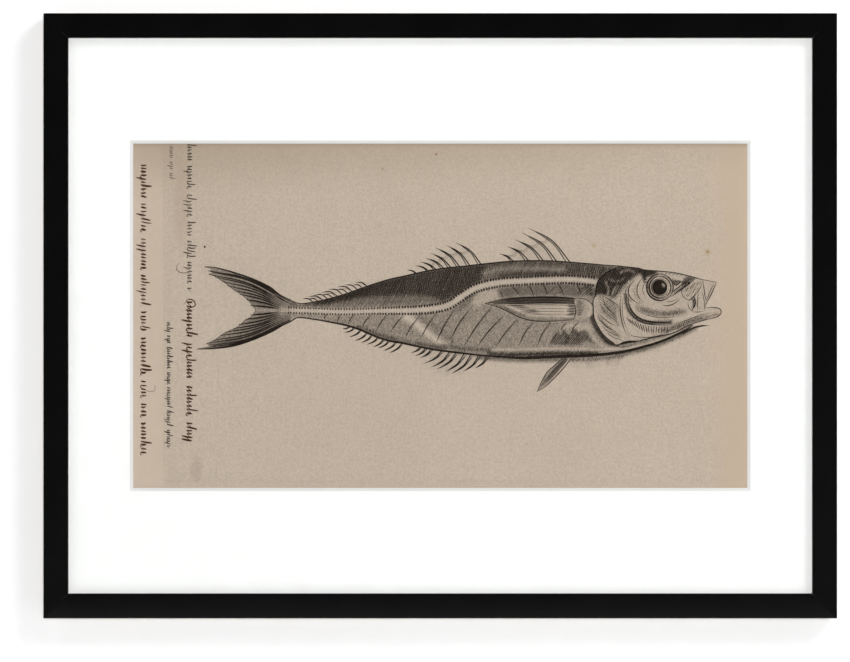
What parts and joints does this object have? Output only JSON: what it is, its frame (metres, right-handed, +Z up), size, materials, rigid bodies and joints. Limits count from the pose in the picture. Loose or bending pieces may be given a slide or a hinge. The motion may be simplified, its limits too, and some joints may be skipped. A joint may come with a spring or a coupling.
{
  "type": "framed print",
  "caption": "Landscape picture frame with mitred black rails, glass, a white bevelled window mat round a fish engraving, and ring hangers behind.",
  "frame": {"origin": "midway between the points where two wall hooks bear on the hanger rings, in the plane of the rails' back faces", "axes": "+X to the viewer's right along the picture's length, +Y from the glass towards the wall, +Z up"},
  "size_m": [0.64, 0.0281, 0.488],
  "materials": {
    "black_wood": "satin black paint over wood, bare timber on the back and in the rebate",
    "clear_glass": "clear sheet glass with ground edges",
    "white_board": "smooth white cotton-fibre board with a fine tooth and a white core on the bevel",
    "aged_paper": "toned and foxed old printing paper with brown-black intaglio ink",
    "hinge_paper": "thin gummed paper and linen tape",
    "cream_board": "plain cream cotton-fibre board",
    "hardboard": "brown pressed hardboard with a fine screen texture",
    "zinc_steel": "zinc-plated spring steel",
    "brass_plate": "bright brass-plated steel with light handling wear",
    "clear_rubber": "soft grey rubber, slightly shiny"
  },
  "bodies": {
    "picture": {"rail_top": "black_wood", "rail_bottom": "black_wood", "rail_left": "black_wood", "rail_right": "black_wood", "glass_sheet": "clear_glass", "window_mat": "white_board", "print_sheet": "aged_paper", "print_hinge_left": "hinge_paper", "print_hinge_right": "hinge_paper", "mat_hinge_tape": "hinge_paper", "mount_board": "cream_board", "backboard": "hardboard", "tab_top_1": "zinc_steel", "tab_top_2": "zinc_steel", "tab_top_3": "zinc_steel", "tab_top_4": "zinc_steel", "tab_bottom_1": "zinc_steel", "tab_bottom_2": "zinc_steel", "tab_bottom_3": "zinc_steel", "tab_bottom_4": "zinc_steel", "tab_left_1": "zinc_steel", "tab_left_2": "zinc_steel", "tab_left_3": "zinc_steel", "tab_right_1": "zinc_steel", "tab_right_2": "zinc_steel", "tab_right_3": "zinc_steel", "mitre_wedge_top_left_outer": "zinc_steel", "mitre_wedge_top_left_inner": "zinc_steel", "mitre_wedge_top_right_outer": "zinc_steel", "mitre_wedge_top_right_inner": "zinc_steel", "mitre_wedge_bottom_left_outer": "zinc_steel", "mitre_wedge_bottom_left_inner": "zinc_steel", "mitre_wedge_bottom_right_outer": "zinc_steel", "mitre_wedge_bottom_right_inner": "zinc_steel", "hanger_strap_left": "brass_plate", "hanger_screw_left": "brass_plate", "hanger_strap_right": "brass_plate", "hanger_screw_right": "brass_plate", "wall_bumper_left": "clear_rubber", "wall_bumper_right": "clear_rubber"},
    "ring_left": {"hanger_ring_left": "brass_plate"},
    "ring_right": {"hanger_ring_right": "brass_plate"}
  },
  "joints": [
    {"name": "ring_left_swing", "type": "hinge", "parent": "picture", "child": "ring_left", "pos_m": [-0.3115, 0.00205, -0.01], "axis": [-1, 0, 0], "range_deg": [0, 160]},
    {"name": "ring_right_swing", "type": "hinge", "parent": "picture", "child": "ring_right", "pos_m": [0.3115, 0.00205, -0.01], "axis": [-1, 0, 0], "range_deg": [0, 160]}
  ]
}
